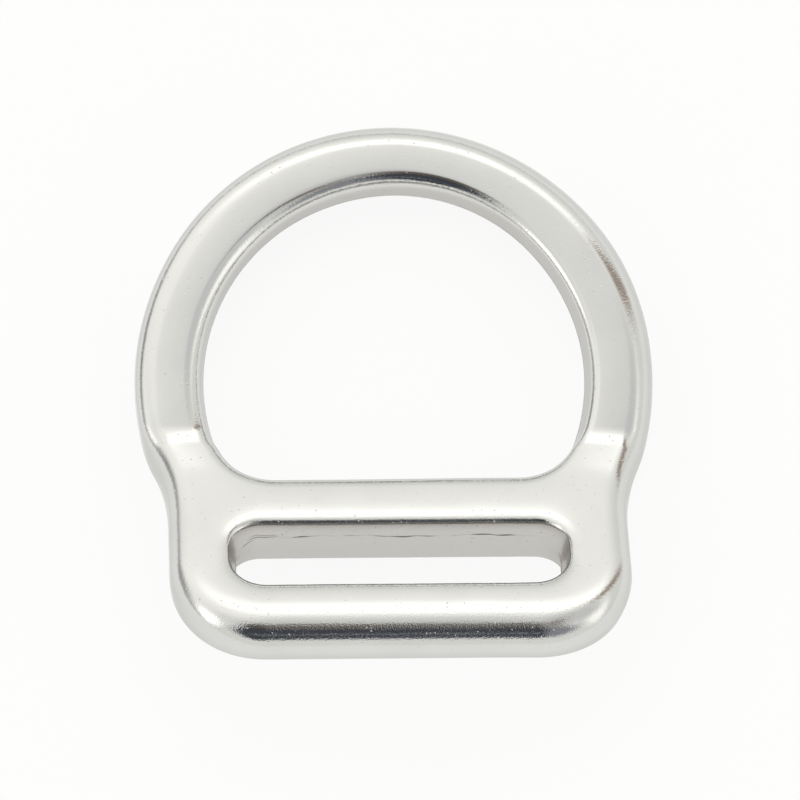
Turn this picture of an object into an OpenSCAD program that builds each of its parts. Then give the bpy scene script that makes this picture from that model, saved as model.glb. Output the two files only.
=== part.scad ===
// Forged ring for webbing: a round eye above a base with a webbing slot, bent where the two meet.
// The outline is drawn flat, as three closed loops round the outside, the eye and the slot.
// Each loop carries the section of its edge, and the flat faces bridge the loops front and back.
// The flat shape is then bent about a line across the shoulders, and lies with its back on z = 0.

/* [Eye] */
// Diameter of the eye, where a connector goes through
eye_d = 54.4; // [50:0.2:60]
// Width of the band round the eye
band_w = 9.8; // [8.5:0.1:12]
// Depth of the eye's straight lower side below the ring's centre
eye_drop = 16.6; // [14:0.1:20]
// Radius of the eye's two lower corners
eye_corner_r = 8.1; // [5:0.1:12]

/* [Webbing slot] */
// Width of the webbing that the slot takes
webbing_w = 45; // [40:1:48]
// Room left beside the webbing, both ends together
webbing_play = 0.8; // [0.4:0.1:3]
// Height of the slot
slot_h = 9.2; // [6:0.1:11]
// Radius of the slot's four corners
slot_corner_r = 3; // [1:0.1:4.4]

/* [Base] */
// Width of the bar between the eye and the slot
eye_bar_w = 8.9; // [7:0.1:12]
// Width of the bar at each end of the slot
side_bar_w = 9.7; // [8:0.1:12]
// Width of the bar below the slot
end_bar_w = 9.4; // [8:0.1:13]
// Radius of the base's two outer corners
base_corner_r = 13.6; // [8:0.1:16]
// Radius of the hollow neck between the ring and the base
neck_r = 25.3; // [15:0.1:30]

/* [Section] */
// Thickness of the forging, from its front to its back
thickness = 10.2; // [8:0.1:12]
// Edge radius round the outside of the ring
ring_edge_r = 2.9; // [1.5:0.1:3.6]
// Edge radius on the two sides of the base
side_edge_r = 3.4; // [2:0.1:4]
// Edge radius along the end of the base
end_edge_r = 4.9; // [3:0.1:5]
// Edge radius round the eye
eye_edge_r = 2.3; // [1:0.1:3]
// Edge radius round the slot
slot_edge_r = 1.4; // [0.8:0.1:2.4]
// Draft of the outer walls, in degrees
outer_draft = 9; // [2:1:14]
// Draft of the eye's wall, in degrees
eye_draft = 10; // [2:1:14]
// Draft of the slot's two long walls, in degrees
slot_draft = 4; // [1:1:8]
// Draft of the slot's two end walls, in degrees
slot_end_draft = 13; // [1:1:14]

/* [Bend] */
// Angle between the ring's plane and the base's plane
bend_angle = 24; // [0:1:35]
// Distance from the ring's centre down to the middle of the bend
bend_drop = 9.4; // [7:0.1:13]
// Radius of the bend on its hollow front side
bend_inner_r = 4; // [2:0.1:12]

/* [Facets] */
// Length of one facet along the outline's curves
facet_len = 2; // [1.4:0.1:4]
// Facets across each rounded edge
edge_facets = 4; // [2:1:5]
// Facets along each half of a straight bar
bar_facets = 3; // [1:1:8]

/* [Hidden] */

// A rounded edge takes up at most this share of half the thickness
edge_share = 0.97;
// Straight stretch always left between two corners of the slot
least_straight = 0.4;
half_t = thickness / 2;
eye_r = eye_d / 2;
ring_r = eye_r + band_w;
slot_half = (webbing_w + webbing_play) / 2;
base_half = slot_half + side_bar_w;

// Heights in the flat outline, with the ring's centre at zero
eye_v = -eye_drop;
slot_top_v = eye_v - eye_bar_w;
slot_low_v = slot_top_v - slot_h;
end_v = slot_low_v - end_bar_w;

// The neck's arc touches the ring's circle and the straight side of the base
neck_x = base_half + neck_r;
neck_v = -sqrt(pow(ring_r + neck_r, 2) - pow(neck_x, 2));
neck_angle = atan2(neck_v, neck_x);

// The base's outer corner, the eye's lower corner and the slot's corners
base_corner = [base_half - base_corner_r, end_v + base_corner_r];
eye_corner_v = eye_v + eye_corner_r;
eye_corner = [sqrt(pow(eye_r - eye_corner_r, 2) - pow(eye_corner_v, 2)), eye_corner_v];
eye_corner_angle = atan2(eye_corner[1], eye_corner[0]);
eye_corner_mid = (eye_corner_angle - 90) / 2;
slot_r = min(slot_corner_r, (slot_h - least_straight) / 2);
slot_corner_x = slot_half - slot_r;
slot_corner_top = [slot_corner_x, slot_top_v - slot_r];
slot_corner_low = [slot_corner_x, slot_low_v + slot_r];

// The bend turns the middle of the forging through this radius over this length
bend_r = bend_inner_r + half_t;
bend_len = bend_r * bend_angle * PI / 180;

// Number of facets that a curve of the outline is cut into
function facets(radius, angle) = ceil(radius * abs(angle) * PI / 180 / facet_len);
ring_n = facets(ring_r, 90 - neck_angle);
neck_n = facets(neck_r, neck_angle);
side_n = ceil((neck_v - base_corner[1]) / 2 / facet_len) + 1;
corner_n = facets(base_corner_r, 90);
inner_n = facets(eye_corner_r, 90 + eye_corner_mid) + 1;

// A station of the outline is [place, outward direction, edge radius]
function arc_run(centre, radius, from, to, n, side) = [
    for (i = [0:n])
        let (a = from + (to - from) * i / n, d = [cos(a), sin(a)])
        [centre + radius * d, side * d]
];
function line_run(from, to, outward, n) = [
    for (i = [0:n]) [from + (to - from) * i / n, outward]
];
function joined(runs) = [
    for (r = [0:len(runs) - 1]) for (i = [(r == 0 ? 0 : 1):len(runs[r]) - 1]) runs[r][i]
];

// The right half of each loop, from its top to its bottom on the centre line
outer_right = joined([
    arc_run([0, 0], ring_r, 90, neck_angle, ring_n, 1),
    arc_run([neck_x, neck_v], neck_r, 180 + neck_angle, 180, neck_n, -1),
    line_run([base_half, neck_v], [base_half, base_corner[1]], [1, 0], 2 * side_n),
    arc_run(base_corner, base_corner_r, 0, -90, corner_n, 1),
    line_run([base_corner[0], end_v], [0, end_v], [0, -1], bar_facets)
]);
eye_right = joined([
    arc_run([0, 0], eye_r, 90, eye_corner_angle, ring_n, -1),
    arc_run(eye_corner, eye_corner_r, eye_corner_angle, eye_corner_mid, neck_n, -1),
    arc_run(eye_corner, eye_corner_r, eye_corner_mid, -90, inner_n, -1),
    line_run([eye_corner[0], eye_v], [0, eye_v], [0, 1], bar_facets)
]);
slot_right = joined([
    line_run([0, slot_top_v], [slot_corner_x, slot_top_v], [0, -1], bar_facets),
    arc_run(slot_corner_top, slot_r, 90, 45, inner_n, -1),
    arc_run(slot_corner_top, slot_r, 45, 0, side_n, -1),
    line_run([slot_half, slot_corner_top[1]], [slot_half, slot_corner_low[1]], [-1, 0], side_n),
    arc_run(slot_corner_low, slot_r, 0, -90, corner_n, -1),
    line_run([slot_corner_x, slot_low_v], [0, slot_low_v], [0, 1], bar_facets)
]);

// Stations along the band round the eye, the bar above the slot and the bars round it
band_n = ring_n + neck_n;
top_bar_n = inner_n + bar_facets;
low_bar_n = 2 * side_n + corner_n + bar_facets;

// A smooth step from 0 to 1, and the outer edge's radius, which grows down the shoulder and the corner
function eased(t) = let (c = min(max(t, 0), 1)) c * c * (3 - 2 * c);
function outer_edge_r(station) =
    let (shoulder = eased((station[0][1] + bend_drop) / (neck_v + bend_drop)))
    let (corner = station[0][1] < neck_v ? eased(asin(-station[1][1]) / 90) : 0)
    ring_edge_r + (side_edge_r - ring_edge_r) * shoulder + (end_edge_r - side_edge_r) * corner;

// Both halves of a loop, the left one mirrored
function flip(pair) = [-pair[0], pair[1]];
function whole(right) = concat(right, [
    for (i = [len(right) - 2:-1:1]) [flip(right[i][0]), flip(right[i][1])]
]);

// The section across an edge: a rounded front, a drafted wall to the parting line, and the same behind
edge_points = 2 * edge_facets + 3;
function edge_section(radius, draft) =
    let (r = min(radius, edge_share * half_t))
    let (land = (r + (half_t - r) * sin(draft)) / cos(draft))
    let (front = [
        for (k = [0:edge_facets])
            let (a = 90 - (90 - draft) * k / edge_facets)
            [r * cos(a) - land, half_t - r + r * sin(a)]
    ])
    concat(front, [[0, 0]], [for (k = [edge_facets:-1:0]) [front[k][0], -front[k][1]]]);

// Bends a flat point [x, height, depth] about the line across the shoulders
function bent(p) =
    let (w = p[1] + bend_drop)
    let (turn = min(max((bend_len / 2 - w) / bend_r * 180 / PI, 0), bend_angle))
    let (above = max(w - bend_len / 2, 0), below = max(-w - bend_len / 2, 0))
    let (r = bend_r - p[2])
    [
        p[0],
        bend_len / 2 + above - r * sin(turn) - below * cos(turn),
        bend_r - r * cos(turn) + below * sin(turn)
    ];

// All points of one loop, station by station
function loop_points(stations, radii, drafts) = [
    for (i = [0:len(stations) - 1])
        let (s = stations[i])
        for (e = edge_section(radii[i], drafts[i]))
            bent([s[0][0] + e[0] * s[1][0], s[0][1] + e[0] * s[1][1], e[1]])
];
function same(stations, size) = [for (s = stations) size];
// The slot's draft grows from its long walls, round the corners, to its end walls
function slot_drafts(stations) = [
    for (s = stations) slot_draft + (slot_end_draft - slot_draft) * pow(s[1][0], 2)
];

outer = whole(outer_right);
eye = whole(eye_right);
slot = whole(slot_right);
outer_base = 0;
eye_base = len(outer) * edge_points;
slot_base = eye_base + len(eye) * edge_points;
points = concat(
    loop_points(outer, [for (s = outer) outer_edge_r(s)], same(outer, outer_draft)),
    loop_points(eye, same(eye, eye_edge_r), same(eye, eye_draft)),
    loop_points(slot, same(slot, slot_edge_r), slot_drafts(slot))
);

// The index of a loop's point: station i on the right or the left half, point k of its section
function at(base, count, side, i, k) = base + (side > 0 ? i : (count - i) % count) * edge_points + k;
// Two triangles over four corners, wound the other way where turned is true
function quad(a, b, c, d, turned) = turned ? [[a, b, c], [a, c, d]] : [[c, b, a], [d, c, a]];

// The rounded edge and walls of a loop
function edge_faces(base, count, turned) = [
    for (i = [0:count - 1]) for (k = [0:edge_points - 2])
        let (a = base + i * edge_points + k, b = base + (i + 1) % count * edge_points + k)
        each quad(a, b, b + 1, a + 1, turned)
];
// The flat face between n steps of loop p from station i, and n steps of loop q from station j
function land_faces(p, i, q, j, step, n) = [
    for (side = [1, -1]) for (k = [0, edge_points - 1]) for (s = [0:n - 1])
        each quad(
            at(p[0], p[1], side, i + s, k),
            at(p[0], p[1], side, i + s + 1, k),
            at(q[0], q[1], side, j + step * (s + 1), k),
            at(q[0], q[1], side, j + step * s, k),
            (side > 0) != (k == 0)
        )
];
outer_loop = [outer_base, len(outer)];
eye_loop = [eye_base, len(eye)];
slot_loop = [slot_base, len(slot)];

// The four small triangles where the band, the upper bar and the side bar meet
function meeting_faces() = [
    for (side = [1, -1]) for (k = [0, edge_points - 1])
        let (a = at(outer_loop[0], outer_loop[1], side, band_n, k))
        let (b = at(eye_loop[0], eye_loop[1], side, band_n, k))
        let (c = at(slot_loop[0], slot_loop[1], side, top_bar_n, k))
        (side > 0) != (k == 0) ? [a, b, c] : [c, b, a]
];

// The box along Y, whose middle is the origin
low_y = min([for (p = points) p[1]]);
high_y = max([for (p = points) p[1]]);

module d_ring() {
    color("silver")
        translate([0, -(low_y + high_y) / 2, half_t])
            polyhedron(points, concat(
                edge_faces(outer_loop[0], outer_loop[1], false),
                edge_faces(eye_loop[0], eye_loop[1], true),
                edge_faces(slot_loop[0], slot_loop[1], true),
                land_faces(eye_loop, 0, outer_loop, 0, 1, band_n),
                land_faces(slot_loop, 0, eye_loop, band_n + top_bar_n, -1, top_bar_n),
                land_faces(slot_loop, top_bar_n, outer_loop, band_n, 1, low_bar_n),
                meeting_faces()
            ));
}

d_ring();
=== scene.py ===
"""A forged ring with a webbing slot, polished bright, lying on a light table under a soft studio dome."""
import math
from collections import namedtuple

import bmesh
import bpy
import numpy as np
from mathutils import Matrix, Vector


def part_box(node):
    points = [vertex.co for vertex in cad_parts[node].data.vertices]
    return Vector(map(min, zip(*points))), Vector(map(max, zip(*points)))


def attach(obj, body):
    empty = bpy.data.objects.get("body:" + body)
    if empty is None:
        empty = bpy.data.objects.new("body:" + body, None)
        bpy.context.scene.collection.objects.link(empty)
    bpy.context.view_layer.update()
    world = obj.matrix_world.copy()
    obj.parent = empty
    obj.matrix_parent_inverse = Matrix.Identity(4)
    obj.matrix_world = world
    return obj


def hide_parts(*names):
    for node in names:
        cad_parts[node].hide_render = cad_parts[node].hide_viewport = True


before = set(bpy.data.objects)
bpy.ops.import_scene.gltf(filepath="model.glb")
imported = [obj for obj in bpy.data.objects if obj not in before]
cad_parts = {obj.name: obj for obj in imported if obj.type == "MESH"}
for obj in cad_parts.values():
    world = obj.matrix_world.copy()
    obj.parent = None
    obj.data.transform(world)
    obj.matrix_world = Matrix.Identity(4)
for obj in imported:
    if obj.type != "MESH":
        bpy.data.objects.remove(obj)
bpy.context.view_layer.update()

MM = 0.001

# The forging, in millimetres: the solid's sizes, and where grinding left them a little larger or smaller
EYE_D = 54.4
BAND_W = 9.8
EYE_DROP = 16.4
EYE_CORNER_R = 8.1
SLOT_W = 46.1
SLOT_H = 9.3
SLOT_TOP_R = 3.7
SLOT_LOW_R = 4.2
EYE_BAR_W = 8.97
SIDE_BAR_W = 9.55
END_BAR_W = 9.22
BASE_CORNER_R = 13.6
NECK_R = 25.3
THICKNESS = 10.2
EYE_DRAFT = 10
SLOT_DRAFT = 4
SLOT_END_DRAFT = 13
BEND_DROP = 9.65
BEND_SKEW = 0.0135

# The bend as the press left it: nearly all of it in one arc, and the rest in a gentler one further down.
# Each has the depth below the ring's centre where it starts and its length, in millimetres, and its angle.
# The path's depths are those at which the bent middle of the forging is worked out
BENDS = ((7.3, 4.66, 21.2), (15.2, 2.5, 2.8))
BEND_PATH = np.linspace(0, 60, 3001)

# The edges as they were worn, in millimetres: the radius of each and the softer one that leads into it
RING_EDGE = (3.15, 3.3)
SIDE_EDGE = (3.3, 4.5)
END_EDGE = (4.7, 6.5)
EYE_EDGE = (2.5, 2.8)
EYE_BAR_EDGE = (2.0, 3.6)
SLOT_EDGE = (1.0, 5.0)

# How far the slot's punch leaned, as a slope, and the tilts between which an edge's soft radius gives way to
# its tight one, in degrees
SLOT_LEAN = 0.028
SOFT_FROM = 8
SOFT_TO = 27

# The shares by which an edge's tight and soft radii change where it faces left: on the ring's outside, on
# the base's, and on the eye's
LEFT_RING = (-0.34, 0.7)
LEFT_BASE = (-0.17, 0.5)
LEFT_EYE = (-0.5, -0.3)

# The outer wall's draft after grinding, in degrees: its mean, and what facing right and facing up add
RING_DRAFT = (8.5, 6.5, 6.5)
BASE_DRAFT = (6.0, 3.0, -3.0)

# What tumbling and polishing took off, in millimetres
POLISH_DEPTH = 0.004
PARTING_WEAR = 0.22
RING_CROWN = 0.025
BASE_CROWN = 0.065
HAND_WAVE = 0.012
HAND_WAVE_LENGTH = 11.0

# How much painted shade darkens a wall's colour, for the light lost in its recess, and how much duller it is
# where the polishing wheel reached it least, on the outside, in the eye and in the slot: in all, what more
# just below its front round, and times what where it faces sideways. Then how far that more reaches, how far
# down the round the painted shade and dullness start, and the depth over which a face turns to round, in
# millimetres
OUTER_SHADE_AND_DULLNESS = (0, 0, 1)
EYE_SHADE_AND_DULLNESS = (0.6, 0, 0.5)
SLOT_SHADE_AND_DULLNESS = (0.6, 0.4, 1.4)
LIP_SHADE_AND_DULLNESS_REACH = 0.9
SHADE_AND_DULLNESS_FROM = 0.45
ROUND_DEPTH = 0.3

# The line where the slot's punch broke through, in millimetres: how deep it lies and how it stands out, the
# gap in it, the layers near one end, and the fainter tear nearer the back
SHEAR_DEPTH = 1.45
SHEAR_STEP = 0.055
SHEAR_WIDTH = 0.11
SHEAR_WANDER = 0.16
SHEAR_SAG = 0.9
SHEAR_GAP_X = -10.5
SHEAR_GAP_W = 2.0
STRATA_X = -19.5
STRATA_W = 3.2
STRATA_STEP = 0.42
TEAR_DEPTH = -2.35
TEAR_STEP = 0.02
TEAR_X = 13.0
TEAR_W = 9.0

# The grid, in millimetres along the outline and in rows across it
STATION = 0.4
EDGE_ROWS = 14
WALL_ROWS = np.linspace(1, -1, 7)[1:-1]
SLOT_WALL_ROWS = np.concatenate(
    [
        np.linspace(1, 0.64, 6)[1:],
        np.linspace(0.64, 0.06, 36)[1:],
        np.linspace(0.06, -0.5, 7)[1:],
        np.linspace(-0.5, -0.78, 11)[1:],
        np.linspace(-0.78, -1, 4)[1:-1],
    ]
)
ROW_SPREAD = 1.25
LAND_ROWS = 6
JOIN_STATIONS = 16
SETTLING_TURNS = 4
WELD = 0.0005

HALF_T = THICKNESS / 2
EYE_R = EYE_D / 2
RING_R = EYE_R + BAND_W
SLOT_HALF = SLOT_W / 2
BASE_HALF = SLOT_HALF + SIDE_BAR_W
EYE_V = -EYE_DROP
SLOT_TOP_V = EYE_V - EYE_BAR_W
SLOT_LOW_V = SLOT_TOP_V - SLOT_H
END_V = SLOT_LOW_V - END_BAR_W

# The heights between which the ring's edges and crown change to the base's
BEND_TOP = 2.0 - BEND_DROP
BEND_LOW = -4.0 - BEND_DROP

# A point of a grid is x, height, depth, painted shade and dullness, and how rounded: this is one millimetre
# of depth
DEPTH_AXIS = np.array([0, 0, 1, 0, 0])

# An edge: its stations, the direction out of the metal there, what its section needs at each, and the
# shares of painted shade and dullness on its wall
Edge = namedtuple("Edge", "places facings radius soft draft crown rows cuts shelter")


def arc(centre, radius, start, end, steps, side):
    """A run along a circle: place = centre + radius (cos a, sin a), for even angles a from start to end in
    degrees, and the direction out of the metal there, which is (cos a, sin a) times side."""
    a = np.radians(np.linspace(start, end, steps + 1))
    spoke = np.stack([np.cos(a), np.sin(a)], -1)
    return np.array(centre) + radius * spoke, side * spoke


def line(start, end, facing, steps):
    """A straight run: place = start + t (end - start) for even t from 0 to 1, all facing one way."""
    t = np.linspace(0, 1, steps + 1)[:, None]
    start, end = np.array(start), np.array(end)
    return start + t * (end - start), np.tile(np.array(facing, float), (steps + 1, 1))


def joined(*runs):
    """Runs end to end, each later one without its first station, which the one before it ends on."""
    places = [runs[0][0]] + [run[0][1:] for run in runs[1:]]
    facings = [runs[0][1]] + [run[1][1:] for run in runs[1:]]
    return np.concatenate(places), np.concatenate(facings)


def steps_for(length):
    """How many stations a run of this length is cut into."""
    return max(2, round(length / STATION))


def eased(t):
    """A smooth step from 0 to 1: 3 t^2 - 2 t^3, level at both ends."""
    t = np.clip(t, 0, 1)
    return t * t * (3 - 2 * t)


def outline_runs():
    """The right half of the outline in six runs of (places, facings), two and two with as many stations:
    the band's outside and eye side, the upper bar's slot and eye side, and the lower bars' slot side and
    outside. The neck is the arc that touches the ring's circle and the base's straight side."""
    neck = (BASE_HALF + NECK_R, -math.sqrt((RING_R + NECK_R) ** 2 - (BASE_HALF + NECK_R) ** 2))
    neck_a = math.degrees(math.atan2(neck[1], neck[0]))
    corner = (BASE_HALF - BASE_CORNER_R, END_V + BASE_CORNER_R)
    eye_corner_v = EYE_V + EYE_CORNER_R
    eye_corner = (math.sqrt((EYE_R - EYE_CORNER_R) ** 2 - eye_corner_v**2), eye_corner_v)
    eye_a = math.degrees(math.atan2(eye_corner[1], eye_corner[0]))
    eye_mid = (eye_a - 90) / 2
    slot_top = (SLOT_HALF - SLOT_TOP_R, SLOT_TOP_V - SLOT_TOP_R)
    slot_low = (SLOT_HALF - SLOT_LOW_R, SLOT_LOW_V + SLOT_LOW_R)

    ring_n = steps_for(math.radians(90 - neck_a) * RING_R)
    neck_n = steps_for(math.radians(-neck_a) * NECK_R)
    turn_n = steps_for(math.radians(90 + eye_mid) * EYE_CORNER_R)
    bar_n = steps_for(slot_top[0])
    side_n = steps_for((neck[1] - corner[1]) / 2)
    corner_n = steps_for(math.pi / 2 * BASE_CORNER_R)

    band_out = joined(
        arc((0, 0), RING_R, 90, neck_a, ring_n, 1),
        arc(neck, NECK_R, 180 + neck_a, 180, neck_n, -1),
    )
    band_eye = joined(
        arc((0, 0), EYE_R, 90, eye_a, ring_n, -1),
        arc(eye_corner, EYE_CORNER_R, eye_a, eye_mid, neck_n, -1),
    )
    bar_eye = joined(
        arc(eye_corner, EYE_CORNER_R, eye_mid, -90, turn_n, -1),
        line((eye_corner[0], EYE_V), (0, EYE_V), (0, 1), bar_n),
    )
    bar_slot = joined(
        arc(slot_top, SLOT_TOP_R, 45, 90, turn_n, -1),
        line((slot_top[0], SLOT_TOP_V), (0, SLOT_TOP_V), (0, -1), bar_n),
    )
    low_slot = joined(
        arc(slot_top, SLOT_TOP_R, 45, 0, side_n, -1),
        line((SLOT_HALF, slot_top[1]), (SLOT_HALF, slot_low[1]), (-1, 0), side_n),
        arc(slot_low, SLOT_LOW_R, 0, -90, corner_n, -1),
        line((slot_low[0], SLOT_LOW_V), (0, SLOT_LOW_V), (0, 1), bar_n),
    )
    low_out = joined(
        line((BASE_HALF, neck[1]), (BASE_HALF, corner[1]), (1, 0), 2 * side_n),
        arc(corner, BASE_CORNER_R, 0, -90, corner_n, 1),
        line((corner[0], END_V), (0, END_V), (0, -1), bar_n),
    )
    return neck[1], band_out, band_eye, bar_slot, bar_eye, low_slot, low_out


def on_base(v):
    """How far a height belongs to the base: 0 on the ring, rising smoothly to 1 below the bend."""
    return eased((BEND_TOP - v) / (BEND_TOP - BEND_LOW))


def mixed(one, other, share):
    """Sizes part of the way from one set to another, a share for each station."""
    return [a + (b - a) * share for a, b in zip(one, other)]


def ground_left(sizes, shares, facings):
    """Radii changed by their shares where the edge faces left, and eased into that all round."""
    left = eased(-facings[:, 0])
    return [size * (1 + share * left) for size, share in zip(sizes, shares)]


def outer_edge(run, neck_v):
    """The outer edge: its radii grow from the ring's to the sides' down the shoulder, and on to the end's as
    the outline turns round the corner. Where it faces left they change by a share of the facing. Its draft
    is mean + right * facing x + up * facing height."""
    places, facings = run
    turned = np.degrees(np.arcsin(np.clip(-facings[:, 1], -1, 1))) / 90
    corner = np.where(places[:, 1] < neck_v, eased(turned), 0)
    shoulder = eased((places[:, 1] + BEND_DROP) / (neck_v + BEND_DROP))
    sizes = mixed(mixed(RING_EDGE, SIDE_EDGE, shoulder), END_EDGE, corner)
    lower = on_base(places[:, 1])
    radius, soft = ground_left(sizes, mixed(LEFT_RING, LEFT_BASE, lower), facings)
    mean, right, up = mixed(RING_DRAFT, BASE_DRAFT, lower)
    draft = mean + right * facings[:, 0] + up * facings[:, 1]
    return Edge(*run, radius, soft, draft, crown_at(run), WALL_ROWS, [fuller("outside")], OUTER_SHADE_AND_DULLNESS)


def eye_edge(run):
    """The eye's edge: its radii change from the ring's to the bar's below the bend."""
    radius, soft = ground_left(mixed(EYE_EDGE, EYE_BAR_EDGE, on_base(run[0][:, 1])), LEFT_EYE, run[1])
    draft = np.full(len(radius), EYE_DRAFT)
    return Edge(*run, radius, soft, draft, crown_at(run), WALL_ROWS, [fuller("eye")], EYE_SHADE_AND_DULLNESS)


def slot_edge(run):
    """The slot's edge, whose wall bears the marks of the punch. Its draft grows towards the slot's ends as
    the square of how far it faces along the slot."""
    radius, soft = (np.full(len(run[0]), size) for size in SLOT_EDGE)
    draft = SLOT_DRAFT + (SLOT_END_DRAFT - SLOT_DRAFT) * run[1][:, 0] ** 2
    cuts = [punch_lean, shear_line, fuller("slot")]
    return Edge(*run, radius, soft, draft, crown_at(run), SLOT_WALL_ROWS, cuts, SLOT_SHADE_AND_DULLNESS)


def crown_at(run):
    """How much lower than its middle the face is at its edge, at each station of a run."""
    return RING_CROWN + (BASE_CROWN - RING_CROWN) * on_base(run[0][:, 1])


# Where hand grinding left the outline fuller than it was drawn, in millimetres: the reach is where the
# extra has fallen to a third
# edge, x, height, reach, extra
FULLER = (
    ("eye", -19.2, 19.2, 20.0, 0.28),
    ("eye", 14.0, -17.0, 14.0, 0.16),
    ("eye", 23.0, 14.5, 9.0, 0.16),
    ("eye", -8.0, 26.0, 9.0, 0.14),
    ("outside", 30.0, -39.0, 8.0, 0.60),
    ("outside", 33.0, -28.0, 7.0, 0.20),
    ("outside", 36.0, -12.0, 7.0, 0.10),
    ("outside", 33.0, 16.5, 12.0, 0.24),
    ("outside", -33.8, -14.0, 5.0, -0.33),
    ("outside", -34.0, 14.0, 10.0, -0.11),
    ("slot", 23.0, -30.0, 4.5, 0.26),
)


def fuller(kind):
    """How much further out an edge stands at each place, whatever the depth: round hills
    exp(-(distance / reach)^2), summed."""

    def extra(places, depth):
        total = np.zeros(places.shape[:-1] + (1,))
        for edge, x, v, reach, most in FULLER:
            if edge == kind:
                far = np.hypot(places[..., :1] - x, places[..., 1:] - v) / reach
                total = total + most * np.exp(-far * far)
        return total

    return extra


def punch_lean(places, depth):
    """How far the slot's wall stands out for the lean of the punch: towards the front the upper wall goes
    back by lean times depth, the lower one not at all, and the ends by a share that falls evenly."""
    return -SLOT_LEAN * depth * np.clip((places[..., 1:] - SLOT_LOW_V) / SLOT_H, 0, 1)


def shear_line(places, depth):
    """How far the slot's wall stands out: a small step at the depth where the punch's cut broke away, with a
    ridge along it. Its depth wanders as a sum of sines along the slot and sags towards both ends. Near one
    end it is layered, along one stretch it is almost gone, and a fainter tear runs nearer the back."""
    x = places[..., :1]
    wander = np.sin(x * 0.31 + 0.8) + 0.6 * np.sin(x * 0.83 + 2.1) + 0.35 * np.sin(x * 1.9)
    sag = SHEAR_SAG * (x / SLOT_HALF) ** 6
    strength = np.clip(0.5 + 0.45 * np.sin(0.5 * x + 1.2) + 0.3 * np.sin(1.7 * x + 0.5), 0.25, 1)
    strength = strength * (1 - 0.85 * np.exp(-(((x - SHEAR_GAP_X) / SHEAR_GAP_W) ** 2)))
    layered = np.exp(-(((x - STRATA_X) / STRATA_W) ** 2))
    total = np.zeros(np.broadcast_shapes(x.shape, depth.shape))
    for layer, share in ((0, 1.0), (1, 0.7), (2, 0.5)):
        centre = SHEAR_DEPTH - SHEAR_WANDER * wander * (1 + layer) - sag + layer * STRATA_STEP
        off = (depth - centre) / SHEAR_WIDTH
        weight = share * (strength if layer == 0 else layered)
        total = total + weight * SHEAR_STEP * (0.5 * np.tanh(-off) + np.exp(-off * off))
    torn = np.exp(-(((x - TEAR_X) / TEAR_W) ** 2)) * (0.5 + 0.5 * np.sin(x * 1.1))
    off = (depth - TEAR_DEPTH - SHEAR_WANDER * wander) / SHEAR_WIDTH
    return total + torn * TEAR_STEP * np.exp(-off * off)


def crown_slopes(one, other):
    """The slope at which the crowned face between two edges runs into them. Across a width w it rises by the
    crown as a parabola, so it slopes 4 crown / w at its ends. The width depends on the slope, so both are
    worked out over again until they settle."""
    across = np.hypot(*(one.places - other.places).T)
    crown = (one.crown + other.crown) / 2
    slopes = np.zeros(len(across))
    for _ in range(SETTLING_TURNS):
        width = across + edge_section(one, slopes)[:, 0, 0] + edge_section(other, slopes)[:, 0, 0]
        slopes = 4 * crown / width
    return slopes


def met(first, second):
    """The slopes along two runs that share their first station, each eased to the mean of both there."""
    mean = (first[0] + second[0]) / 2
    return [s + (mean - s) * eased(1 - np.arange(len(s)) / JOIN_STATIONS) for s in (first, second)]


def edge_section(edge, slopes):
    """The section across an edge at each station, front to back, as (distance out, depth).
    A round turns from the crowned face's slope to the drafted wall. Its radius is the soft one at first and
    falls smoothly to the tight one, so its points are running sums of radius (cos tilt, -sin tilt) steps.
    On the wall out = -depth tan(draft), and its parting ridge is worn round: depth there becomes
    sqrt(depth^2 + wear^2). The back mirrors the front."""
    draft = np.radians(edge.draft)[:, None]
    start = slopes[:, None]
    tilt = start + (math.pi / 2 - draft - start) * np.linspace(0, 1, EDGE_ROWS + 1) ** ROW_SPREAD
    middle = (tilt[:, 1:] + tilt[:, :-1]) / 2
    tight = eased((np.degrees(middle) - SOFT_FROM) / (SOFT_TO - SOFT_FROM))
    radius = edge.soft[:, None] + (edge.radius - edge.soft)[:, None] * tight
    along = np.concatenate([np.zeros_like(start), radius * np.diff(tilt)], 1)
    middle = np.concatenate([start, middle], 1)
    depth = HALF_T - edge.crown[:, None] - np.cumsum(along * np.sin(middle), 1)
    out = np.cumsum(along * np.cos(middle), 1)
    out = out - out[:, -1:] - depth[:, -1:] * np.tan(draft)
    wall = depth[:, -1:] * edge.rows
    out = np.concatenate([out, -abs(wall) * np.tan(draft), out[:, ::-1]], 1)
    depth = np.concatenate([depth, wall, -depth[:, ::-1]], 1)
    worn = np.exp(-((depth / (3 * PARTING_WEAR)) ** 2))
    out -= np.tan(draft) * worn * (np.hypot(depth, PARTING_WEAR) - abs(depth))
    return np.stack([out - POLISH_DEPTH, depth], -1)


def edge_grid(edge, slopes):
    """An edge carried along its run, as flat points (x, height, depth, painted shade and dullness, how
    rounded).
    The painted shade and dullness rise smoothly from 0 part of the way down the round to their full share
    where that has become the wall, and their part below the front round fades as exp(-(below / reach)^2).
    Where the wall faces sideways they are changed by its factor for that. Rounded rises over the first of
    the round."""
    section = edge_section(edge, slopes)
    out, depth = section[..., :1], section[..., 1:]
    for cut in edge.cuts:
        out = out + cut(edge.places[:, None], depth)
    flat = edge.places[:, None] + out * edge.facings[:, None]
    rounded = eased((HALF_T - edge.crown[:, None, None] - abs(depth)) / ROUND_DEPTH)
    radius, level = edge.radius[:, None, None], abs(edge.facings[:, None, 1:])
    on_wall = eased(((HALF_T - abs(depth)) / radius - SHADE_AND_DULLNESS_FROM) / (1 - SHADE_AND_DULLNESS_FROM))
    below = (HALF_T - radius - depth) / LIP_SHADE_AND_DULLNESS_REACH
    in_all, more, sideways = edge.shelter
    shade_and_dullness = (in_all + more * level * np.exp(-below * below)) * (sideways + (1 - sideways) * level)
    return np.concatenate([flat, depth, on_wall * shade_and_dullness, rounded], -1)


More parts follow.
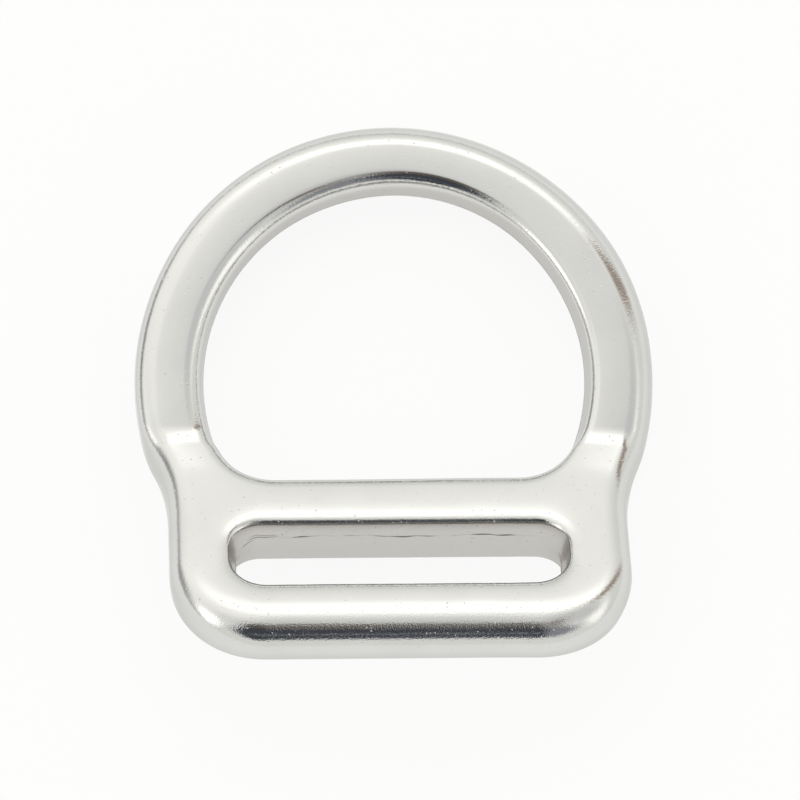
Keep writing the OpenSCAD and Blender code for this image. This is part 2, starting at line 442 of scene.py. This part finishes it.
def bridge(one, other, row, front, crown):
    """The crowned face between two edges: straight from each point of one to its partner on the other, and
    raised by crown 4 t (1 - t) on the way."""
    t = np.linspace(0, 1, LAND_ROWS + 1)[None, :, None]
    rise = front * crown[:, None, None] * 4 * t * (1 - t)
    return one[:, None, row] * (1 - t) + other[:, None, row] * t + rise * DEPTH_AXIS


def corner_fan(a, b, c, front):
    """A crowned triangle as a grid that closes to a point at a: its rows run from the side a-b to the side
    a-c. With shares p, q, r of the three corners it rises by crown (4 (pq + qr + rp) - 9 pqr)."""
    s = np.linspace(0, 1, LAND_ROWS + 1)[:, None, None]
    t = np.linspace(0, 1, LAND_ROWS + 1)[None, :, None]
    p, q, r = 1 - s, s * (1 - t), s * t
    rise = front * BASE_CROWN * (4 * (p * q + q * r + r * p) - 9 * p * q * r)
    return a * p + b * q + c * r + rise * DEPTH_AXIS


def hand_waves(p):
    """The faint unevenness of faces polished by hand: the depth shrinks by a share that is a sum of sines of
    the place, so that the surface never passes the solid's."""
    k = 2 * math.pi / HAND_WAVE_LENGTH
    x, v = p[..., 0], p[..., 1]
    wave = np.sin(k * x + 1.3 * np.sin(0.7 * k * v)) + np.sin(1.31 * k * v + 0.9 * np.sin(0.8 * k * x) + 2.0)
    share = 1 - (HAND_WAVE * (2 + wave) / 4 + POLISH_DEPTH) / HALF_T
    return np.stack([x, v, p[..., 2] * share], -1)


def bent(p):
    """Bends flat points about a line across the shoulders. Down the middle of the forging the tilt rises
    evenly along each of the bends, and the path there is the running sum of steps (-cos tilt, sin tilt); a
    point off the middle is set square to it. The line lay a little askew in the press, so it drops by skew
    times x, and each height is measured from there."""
    x, v, z = p[..., 0], p[..., 1] + BEND_SKEW * p[..., 0], p[..., 2]
    tilt = sum(math.radians(full) * np.clip((BEND_PATH - start) / span, 0, 1) for start, span, full in BENDS)
    middle, step = (tilt[1:] + tilt[:-1]) / 2, np.diff(BEND_PATH)
    back = np.concatenate([[0], np.cumsum(step * np.cos(middle))])
    rise = np.concatenate([[0], np.cumsum(step * np.sin(middle))])
    turn = np.interp(-v, BEND_PATH, tilt)
    y = np.maximum(v, 0) - np.interp(-v, BEND_PATH, back) + z * np.sin(turn)
    return np.stack([x, y - BEND_SKEW * x, np.interp(-v, BEND_PATH, rise) + z * np.cos(turn)], -1)


def forging_patches():
    """Every patch of the surface as (grid of flat points with their painted shade and dullness and how
    rounded they are, whether its faces are wound the other way)."""
    neck_v, *runs = outline_runs()
    for side in (1, -1):
        left = side < 0
        band_out, band_eye, bar_slot, bar_eye, low_slot, low_out = (
            [part * np.array([side, 1]) for part in run] for run in runs
        )
        band = outer_edge(band_out, neck_v), eye_edge(band_eye)
        bar = eye_edge(bar_eye), slot_edge(bar_slot)
        low = slot_edge(low_slot), outer_edge(low_out, neck_v)
        band_slopes, bar_slopes, low_slopes = (crown_slopes(*pair) for pair in (band, bar, low))
        band_out_slopes, low_out_slopes = met(band_slopes[::-1], low_slopes)
        band_eye_slopes, bar_eye_slopes = met(band_slopes[::-1], bar_slopes)
        bar_slot_slopes, low_slot_slopes = met(bar_slopes, low_slopes)

        outer = edge_grid(band[0], band_out_slopes[::-1])
        inner = edge_grid(band[1], band_eye_slopes[::-1])
        upper = edge_grid(bar[0], bar_eye_slopes)
        under = edge_grid(bar[1], bar_slot_slopes)
        slot_side = edge_grid(low[0], low_slot_slopes)
        outside = edge_grid(low[1], low_out_slopes)
        yield from ((outer, left), (outside, left), (under, left))
        yield from ((inner, not left), (upper, not left), (slot_side, not left))
        for row, front in ((0, 1), (-1, -1)):
            turned = left == (front < 0)
            yield bridge(outer, inner, row, front, (band[0].crown + band[1].crown) / 2), turned
            yield bridge(upper, under, row, front, (bar[0].crown + bar[1].crown) / 2), not turned
            yield bridge(slot_side, outside, row, front, (low[0].crown + low[1].crown) / 2), turned
            yield corner_fan(outer[-1, row], inner[-1, row], under[0, row], front), turned


def forged_ring():
    """The whole forging: its patches waved and bent, put where the solid stands, and welded into one
    closed surface."""
    points, marks, faces, count = [], [], [], 0
    for grid, turned in forging_patches():
        n, m = grid.shape[:2]
        index = count + np.arange(n * m).reshape(n, m)
        quads = np.stack([index[:-1, :-1], index[1:, :-1], index[1:, 1:], index[:-1, 1:]], -1).reshape(-1, 4)
        faces.append(quads[:, ::-1] if turned else quads)
        points.append(bent(hand_waves(grid[..., :3])).reshape(-1, 3))
        marks.append(grid[..., 3:].reshape(-1, 2))
        count += n * m
    points = np.concatenate(points)
    low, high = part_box("d_ring")
    middle = (points[:, 1].min() + points[:, 1].max()) / 2
    points += np.array([0, (low.y + high.y) / 2 / MM - middle, low.z / MM + HALF_T])

    mesh = bpy.data.meshes.new("forged_ring")
    mesh.from_pydata((points * MM).tolist(), [], np.concatenate(faces).tolist())
    # Each point keeps its share of painted shade and dullness, and how rounded it is, for the metal's shader
    for name, share in zip(("shade_and_dullness", "rounded"), np.concatenate(marks).T):
        mesh.attributes.new(name, "FLOAT", "POINT").data.foreach_set("value", np.ascontiguousarray(share))
    work = bmesh.new()
    work.from_mesh(mesh)
    bmesh.ops.remove_doubles(work, verts=work.verts, dist=WELD * MM)
    bmesh.ops.dissolve_degenerate(work, dist=WELD * MM, edges=work.edges)
    bmesh.ops.recalc_face_normals(work, faces=work.faces)
    work.to_mesh(mesh)
    work.free()
    mesh.polygons.foreach_set("use_smooth", np.ones(len(mesh.polygons), bool))
    piece = bpy.data.objects.new("forged_ring", mesh)
    bpy.context.scene.collection.objects.link(piece)
    return piece


def linear(hex_colour):
    """A colour from its sRGB hex value, in the linear numbers that shaders use."""
    srgb = np.array([int(hex_colour[i : i + 2], 16) / 255 for i in (1, 3, 5)])
    light = np.where(srgb <= 0.04045, srgb / 12.92, ((srgb + 0.055) / 1.055) ** 2.4)
    return (*light.tolist(), 1.0)


def lit(hex_colour, brightness):
    """The light that a surface of this colour sends at this brightness."""
    return tuple(part * brightness for part in linear(hex_colour)[:3]) + (1.0,)


def add(tree, kind, links=None, **settings):
    """Adds one node. Settings are its own properties; links maps an input to a value or to an output."""
    node = tree.nodes.new(kind)
    for name, value in settings.items():
        setattr(node, name, value)
    for socket, value in (links or {}).items():
        if isinstance(value, bpy.types.NodeSocket):
            tree.links.new(value, node.inputs[socket])
        else:
            node.inputs[socket].default_value = value
    return node


# The finish, in millimetres: how wide its marks are and how deep. The grain and the streaks are finer on the
# real one, and are drawn as coarse as they need to be to show
CLOUD_SIZE = 6.0
HAZE_SIZE = 2.0
RIPPLE_SIZE = 1.8
RIPPLE_DEPTH = 0.003
GRAIN_SIZE = 0.22
GRAIN_DEPTH = 0.019
GRAIN_ON_FACES = 0.18
STREAK_SIZE = 0.25
STREAK_STRETCH = 0.08
STREAK_DEPTH = 0.005
RAGGED_SIZE = 0.35
RAGGED_SHIFT = 0.5
PIT_SPACING = 0.6
PIT_SIZE = 0.11
PIT_DEPTH = 0.05
NICK_SPACING = 4.0
NICK_SIZE = 0.15
NICK_DEPTH = 0.05

# The shares of the pattern's cells that hold a pit or a nick, the roughness of the bright metal where it is
# clearest and where it is haziest, and what the dullest walls add to it
PIT_SHARE = 0.3
NICK_SHARE = 0.5
HAZE = (0.04, 0.08)
SHELTERED_SATIN = 0.22


def polished_aluminium():
    """Forged aluminium alloy, barrel-tumbled and then polished bright: a mirror with a slight haze, faint
    ripples, a fine grain that on the rounded edges frays what they mirror, sparkling pits and a few nicks
    that hold polishing paste. The inner walls, which only the tumbling reached, are duller, and their colour
    is darkened as painted shade for the light lost in the eye and the slot, most just below the slot's front
    round."""
    material = bpy.data.materials.new("tumbled_polished_aluminium")
    material.use_nodes = True
    tree = material.node_tree
    tree.nodes.clear()
    place = add(tree, "ShaderNodeTexCoord").outputs["Object"]

    def noise(size, detail, vector=place):
        links = {"Vector": vector, "Scale": 1 / (size * MM), "Detail": detail}
        return add(tree, "ShaderNodeTexNoise", links)

    def between(value, low, high, to_low, to_high):
        links = {"Value": value, "From Min": low, "From Max": high, "To Min": to_low, "To Max": to_high}
        return add(tree, "ShaderNodeMapRange", links).outputs["Result"]

    def hollows(spacing, size, kept):
        """Small ragged hollows, 1 at their middle, in a share of the cells of a loose pattern."""
        cells = add(tree, "ShaderNodeTexVoronoi", {"Vector": ragged, "Scale": 1 / (spacing * MM)})
        near = between(cells.outputs["Distance"], 0, size / spacing, 1, 0)
        pick = add(tree, "ShaderNodeSeparateColor", {"Color": cells.outputs["Color"]}).outputs[0]
        chosen = between(pick, 1 - kept, 1 - 0.8 * kept, 0, 1)
        return add(tree, "ShaderNodeMath", {0: near, 1: chosen}, operation="MULTIPLY").outputs[0]

    def relief(height, depth, below=None, sunk=False, strength=1.0):
        links = {"Height": height, "Distance": depth * MM, "Strength": strength}
        if below is not None:
            links["Normal"] = below
        return add(tree, "ShaderNodeBump", links, invert=sunk).outputs["Normal"]

    links = {0: noise(RAGGED_SIZE, 1).outputs["Color"], "Scale": RAGGED_SHIFT * MM}
    shift = add(tree, "ShaderNodeVectorMath", links, operation="SCALE").outputs[0]
    ragged = add(tree, "ShaderNodeVectorMath", {0: place, 1: shift}, operation="ADD").outputs[0]
    pits = hollows(PIT_SPACING, PIT_SIZE, PIT_SHARE)
    nicks = hollows(NICK_SPACING, NICK_SIZE, NICK_SHARE)

    surface = relief(noise(RIPPLE_SIZE, 2).outputs["Fac"], RIPPLE_DEPTH)
    rounded = add(tree, "ShaderNodeAttribute", attribute_name="rounded").outputs["Fac"]
    kept = between(rounded, 0, 1, GRAIN_ON_FACES, 1)
    surface = relief(noise(GRAIN_SIZE, 1).outputs["Fac"], GRAIN_DEPTH, surface, strength=kept)
    links = {0: place, 1: (STREAK_STRETCH, 1, 1)}
    along = add(tree, "ShaderNodeVectorMath", links, operation="MULTIPLY").outputs[0]
    surface = relief(noise(STREAK_SIZE, 1, along).outputs["Fac"], STREAK_DEPTH, surface, strength=kept)
    surface = relief(pits, PIT_DEPTH, surface, sunk=True)
    surface = relief(nicks, NICK_DEPTH, surface, sunk=True)
    # The share of painted shade and dullness on the inner walls
    shade_and_dullness = add(tree, "ShaderNodeAttribute", attribute_name="shade_and_dullness").outputs["Fac"]

    def tinted(share, one, other):
        mix = add(tree, "ShaderNodeMix", {"Factor": share}, data_type="RGBA")
        for socket, colour in ((6, one), (7, other)):
            if isinstance(colour, str):
                mix.inputs[socket].default_value = linear(colour)
            else:
                tree.links.new(colour, mix.inputs[socket])
        return mix.outputs[2]

    metal = tinted(noise(CLOUD_SIZE, 3).outputs["Fac"], "#D4D4D1", "#DCDCDA")
    # Painted shade: the metal's colour darkens towards #BBB7B2 on the inner walls, most just below the
    # slot's front round
    metal = tinted(shade_and_dullness, metal, "#BBB7B2")
    metal = tinted(nicks, metal, "#6E6B67")
    haze = between(noise(HAZE_SIZE, 4).outputs["Fac"], 0.3, 0.7, *HAZE)
    satin = between(shade_and_dullness, 0, 1, 0, SHELTERED_SATIN)
    shader = add(
        tree,
        "ShaderNodeBsdfPrincipled",
        {
            "Base Color": metal,
            "Metallic": 1.0,
            "Specular Tint": linear("#E6E6E4"),
            "Roughness": add(tree, "ShaderNodeMath", {0: haze, 1: satin}, operation="ADD").outputs[0],
            "Normal": surface,
        },
    )
    add(tree, "ShaderNodeOutputMaterial", {"Surface": shader.outputs["BSDF"]})
    return material


# The studio dome, seen as a disc from below: x to the right and y towards the ring's top, both in degrees
# from overhead. Each panel is a soft-edged oval laid over the ones before it.
# name, x, y, half width, half height, turn, softness, colour, brightness
PANELS = (
    ("overhead glow", -8, 35, 50, 32, 0, 0.5, "#FFFEFA", 1.21),
    ("overhead light", 5, 36.5, 25, 13.5, 0, 0.42, "#FFFFFC", 1.55),
    ("left glow", -50, -2, 18, 32, 0, 0.6, "#FFFEFA", 1.14),
    ("left light", -57, -28, 15, 23, -25, 0.3, "#FFFEFA", 1.7),
    ("right light", 56, -18, 14, 30, 15, 0.45, "#FFFEFA", 1.40),
    ("shade", 25, -3, 28, 20, 0, 0.5, "#D2D2D2", 1.16),
    ("left shade", -86, 31, 24, 46, -20, 0.6, "#B9B9B7", 0.70),
    ("warm card", 51, 31, 27, 7, 17, 0.4, "#C9B9AC", 0.72),
    ("grey card", 2, -32, 21, 23, 0, 0.3, "#B4B2B0", 1.0),
    ("wide card", 3, -46, 35, 18, 0, 0.3, "#A8AAB0", 0.72),
    ("dark card", -4, -23, 10, 15, 0, 0.35, "#8A817A", 0.55),
    ("narrow card", 15, -13, 3, 12, 0, 0.6, "#8A817A", 0.95),
    ("darkest card", -7, -44.5, 18, 23, 0, 0.14, "#5A5E66", 0.62),
    ("thin light", 8, -47, 20, 1.2, 0, 0.6, "#D4D8DE", 0.60),
)
DOME_LIGHT = ("#F4F4F1", 0.99)

# The rim at the dome's foot, in degrees on the same disc: the angle from overhead where it has fully begun
# and over how much it fades in; the heights between which it fades in from the slot's side; between which
# places on the left it stands higher, and by how much; and between which on the right it fades to a share
RIM_LIGHT = ("#C8C8C6", 0.95)
RIM_ANGLE = 87.0
RIM_FADE = 2.0
RIM_NEAR = (-50.0, -20.0)
RIM_LEFT = (-70.0, -20.0)
RIM_HIGHER = 4.0
RIM_RIGHT = (20.0, 70.0)
RIM_RIGHT_SHARE = 0.15


def studio_dome():
    """The light all round: a pale dome whose panels are placed by angle from overhead, and a dull rim at its
    foot, higher on the left, fainter on the right and missing on the slot's side. A direction's place on the
    disc is its angle from overhead times its unit heading."""
    world = bpy.data.worlds.new("studio_dome")
    world.use_nodes = True
    tree = world.node_tree
    tree.nodes.clear()

    def over(colour, panel, share):
        """Lays a panel's light over what is behind it, by the share of it that is seen."""
        mix = add(tree, "ShaderNodeMix", {"Factor": share}, data_type="RGBA")
        if isinstance(colour, tuple):
            mix.inputs[6].default_value = colour
        else:
            tree.links.new(colour, mix.inputs[6])
        mix.inputs[7].default_value = panel
        return mix.outputs[2]

    def stepped(value, low, high, to_low, to_high):
        links = {"Value": value, "From Min": low, "From Max": high, "To Min": to_low, "To Max": to_high}
        return add(tree, "ShaderNodeMapRange", links, interpolation_type="SMOOTHSTEP").outputs["Result"]

    direction = add(tree, "ShaderNodeTexCoord").outputs["Generated"]
    unit = add(tree, "ShaderNodeVectorMath", {0: direction}, operation="NORMALIZE").outputs[0]
    parts = add(tree, "ShaderNodeSeparateXYZ", {0: unit})
    level = add(tree, "ShaderNodeCombineXYZ", {0: parts.outputs[0], 1: parts.outputs[1]}).outputs[0]
    heading = add(tree, "ShaderNodeVectorMath", {0: level}, operation="NORMALIZE").outputs[0]
    angle = add(tree, "ShaderNodeMath", {0: parts.outputs[2]}, operation="ARCCOSINE").outputs[0]
    degrees = add(tree, "ShaderNodeMath", {0: angle}, operation="DEGREES").outputs[0]
    disc = add(tree, "ShaderNodeVectorMath", {0: heading, "Scale": degrees}, operation="SCALE").outputs[0]

    colour = lit(*DOME_LIGHT)
    for name, x, y, half_w, half_h, turn, soft, tone, brightness in PANELS:
        links = {
            "Vector": disc,
            "Location": (x, y, 0),
            "Rotation": (0, 0, math.radians(turn)),
            "Scale": (half_w, half_h, 1),
        }
        place = add(tree, "ShaderNodeMapping", links, vector_type="TEXTURE", label=name).outputs[0]
        reach = add(tree, "ShaderNodeVectorMath", {0: place}, operation="LENGTH").outputs["Value"]
        colour = over(colour, lit(tone, brightness), stepped(reach, 1 - soft, 1 + soft, 1, 0))
    across = add(tree, "ShaderNodeSeparateXYZ", {0: disc})
    higher = stepped(across.outputs[0], *RIM_LEFT, RIM_HIGHER, 0)
    lowered = add(tree, "ShaderNodeMath", {0: degrees, 1: higher}, operation="ADD").outputs[0]
    share = stepped(across.outputs[0], *RIM_RIGHT, 1, RIM_RIGHT_SHARE)
    share = stepped(across.outputs[1], *RIM_NEAR, 0, share)
    colour = over(colour, lit(*RIM_LIGHT), stepped(lowered, RIM_ANGLE - RIM_FADE, RIM_ANGLE, 0, share))
    back = add(tree, "ShaderNodeBackground", {"Color": colour})
    add(tree, "ShaderNodeOutputWorld", {"Surface": back.outputs[0]})
    bpy.context.scene.world = world


# The table: its size in metres, and how bright it is by the light from below
FLOOR_SIZE = 3.0
FLOOR_GLOW = 0.87


def light_table():
    """The table that the ring lies on: a flat sheet of white acrylic lit from below, so that a shadow on it
    stays faint, and the ring's walls mirror it."""
    half = FLOOR_SIZE / 2
    mesh = bpy.data.meshes.new("table")
    corners = [(-half, -half, 0), (half, -half, 0), (half, half, 0), (-half, half, 0)]
    mesh.from_pydata(corners, [], [(0, 1, 2, 3)])
    table = bpy.data.objects.new("table", mesh)
    bpy.context.scene.collection.objects.link(table)
    material = bpy.data.materials.new("backlit_white_acrylic")
    material.use_nodes = True
    tree = material.node_tree
    tree.nodes.clear()
    shader = add(
        tree,
        "ShaderNodeBsdfPrincipled",
        {
            "Base Color": linear("#666665"),
            "Roughness": 0.9,
            "Specular IOR Level": 0.0,
            "Emission Color": linear("#FFFFFF"),
            "Emission Strength": FLOOR_GLOW,
        },
    )
    add(tree, "ShaderNodeOutputMaterial", {"Surface": shader.outputs["BSDF"]})
    mesh.materials.append(material)


# The camera: where the picture's middle falls on the ring, in millimetres, how far off it stands, in metres,
# how it is tilted, turned and rolled, in degrees, and its lens and sensor, in millimetres
VIEW_AT = (0.79, -0.545, 6.42)
VIEW_DISTANCE = 1.5
VIEW_TILT = 9.78
VIEW_TURN = 2.58
VIEW_ROLL = 0.55
LENS = 473.85
SENSOR = 36.0


def photo_camera():
    """The camera, nearly overhead: tilted towards the slot, and turned and rolled a little."""
    camera = bpy.data.cameras.new("camera")
    camera.lens = LENS
    camera.sensor_width = SENSOR
    camera.clip_end = 20.0
    holder = bpy.data.objects.new("camera", camera)
    tilt = Matrix.Rotation(math.radians(VIEW_TILT), 4, "X")
    turn = Matrix.Rotation(math.radians(-VIEW_TURN), 4, "Y")
    roll = Matrix.Rotation(math.radians(-VIEW_ROLL), 4, "Z")
    back_off = Matrix.Translation((0, 0, VIEW_DISTANCE))
    holder.matrix_world = Matrix.Translation(Vector(VIEW_AT) * MM) @ tilt @ turn @ roll @ back_off
    bpy.context.scene.collection.objects.link(holder)
    bpy.context.scene.camera = holder


ring = forged_ring()
ring.data.materials.append(polished_aluminium())
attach(ring, "root")
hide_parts("d_ring")

light_table()
studio_dome()
photo_camera()
bpy.context.scene.view_settings.view_transform = "Standard"
